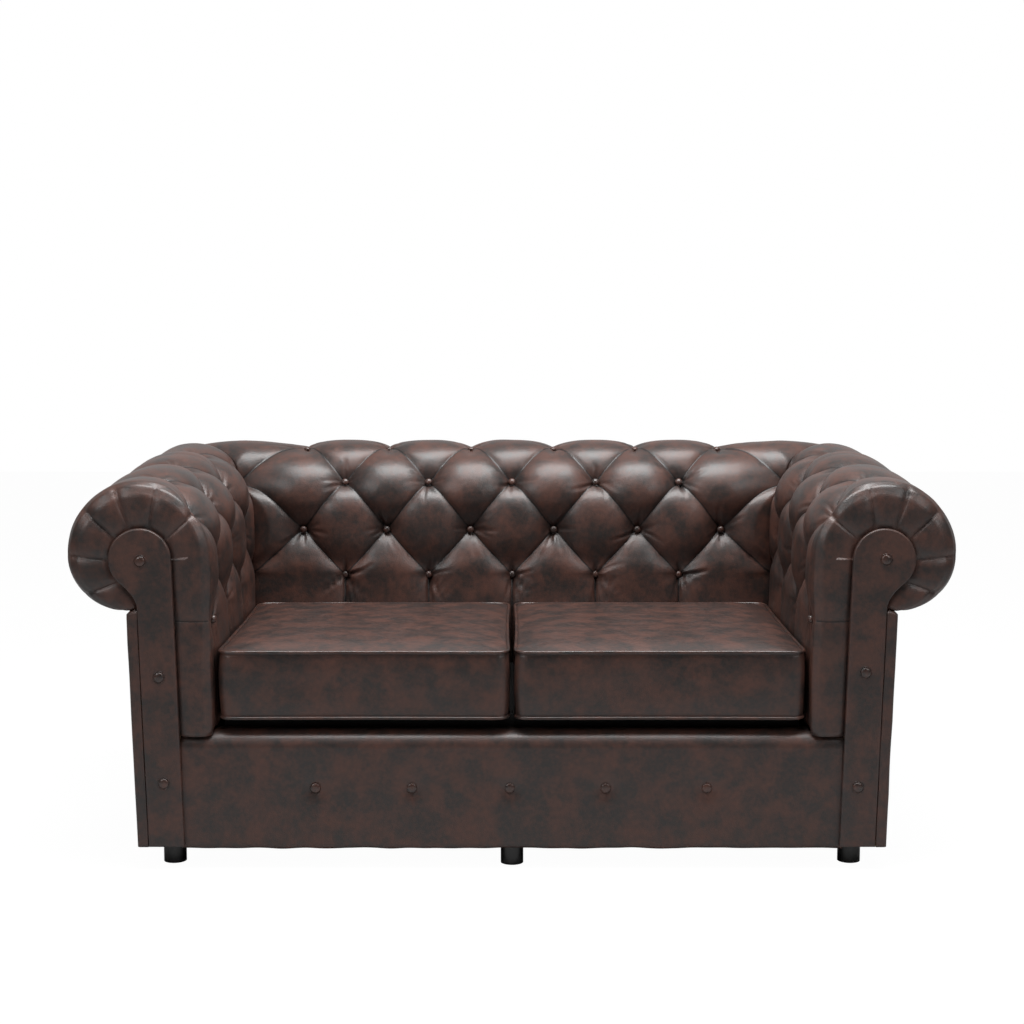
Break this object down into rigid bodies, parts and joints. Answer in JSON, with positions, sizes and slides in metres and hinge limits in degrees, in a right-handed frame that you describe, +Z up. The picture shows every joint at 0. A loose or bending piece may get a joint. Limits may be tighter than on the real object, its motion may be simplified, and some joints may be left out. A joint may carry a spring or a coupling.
{
  "type": "chesterfield sofa",
  "caption": "Low rolled-arm sofa with deep-buttoned leather arms and back, loose piped seat cushions that lift out, and round feet.",
  "frame": {"origin": "on the floor, in the middle of the sofa's length and depth", "axes": "+X to the right seen from the front, -Y out of the front, +Z up"},
  "size_m": [1.62, 0.86, 0.7397],
  "materials": {
    "leather": "semi-gloss dark brown",
    "piping_leather": "semi-gloss dark brown",
    "button_leather": "semi-gloss dark brown",
    "frame_wood": "sawn softwood",
    "plywood": "plain plywood",
    "fibreboard": "matt",
    "foam": "matt foam",
    "deck_cloth": "black cloth over felt",
    "webbing": "woven elastic",
    "black_cloth": "non-woven cloth",
    "foot_plastic": "black",
    "screw_steel": "zinc plated"
  },
  "bodies": {
    "frame": {"arm_base_rail_left": "frame_wood", "arm_base_rail_right": "frame_wood", "arm_buttons_left": "button_leather", "arm_buttons_right": "button_leather", "arm_facing_left": "leather", "arm_facing_right": "leather", "arm_foam_left": "foam", "arm_foam_right": "foam", "arm_front_post_left": "plywood", "arm_front_post_right": "plywood", "arm_outer_panel_left": "leather", "arm_outer_panel_right": "leather", "arm_outer_rail_left": "frame_wood", "arm_outer_rail_right": "frame_wood", "arm_rear_post_left": "plywood", "arm_rear_post_right": "plywood", "arm_roll_board_left": "fibreboard", "arm_roll_board_right": "fibreboard", "arm_top_rail_left": "frame_wood", "arm_top_rail_right": "frame_wood", "arm_tufted_cover_left": "leather", "arm_tufted_cover_right": "leather", "back_bottom_rail": "frame_wood", "back_buttons": "button_leather", "back_foam": "foam", "back_outer_panel": "leather", "back_ribs": "plywood", "back_roll_board": "fibreboard", "back_top_rail": "frame_wood", "back_tufted_cover": "leather", "dust_cover": "black_cloth", "facing_buttons_left": "button_leather", "facing_buttons_right": "button_leather", "foot_front_left": "foot_plastic", "foot_front_middle": "foot_plastic", "foot_front_right": "foot_plastic", "foot_rear_left": "foot_plastic", "foot_rear_middle": "foot_plastic", "foot_rear_right": "foot_plastic", "foot_studs": "screw_steel", "frame_blocks": "frame_wood", "front_rail": "frame_wood", "front_rail_buttons": "button_leather", "front_rail_cover": "leather", "seat_deck": "deck_cloth", "seat_rear_rail": "frame_wood", "seat_side_rail_left": "frame_wood", "seat_side_rail_right": "frame_wood", "seat_webbing_crosswise": "webbing", "seat_webbing_lengthwise": "webbing"},
    "seat_cushion_left": {"seat_cushion_cover_left": "leather", "seat_cushion_core_left": "foam", "cushion_piping_left": "piping_leather"},
    "seat_cushion_right": {"seat_cushion_cover_right": "leather", "seat_cushion_core_right": "foam", "cushion_piping_right": "piping_leather"}
  },
  "joints": [
    {"name": "cushion_lift_left", "type": "slide", "parent": "frame", "child": "seat_cushion_left", "axis": [0, 0, 1], "range_m": [0, 0.45]},
    {"name": "cushion_lift_right", "type": "slide", "parent": "frame", "child": "seat_cushion_right", "axis": [0, 0, 1], "range_m": [0, 0.45]}
  ]
}
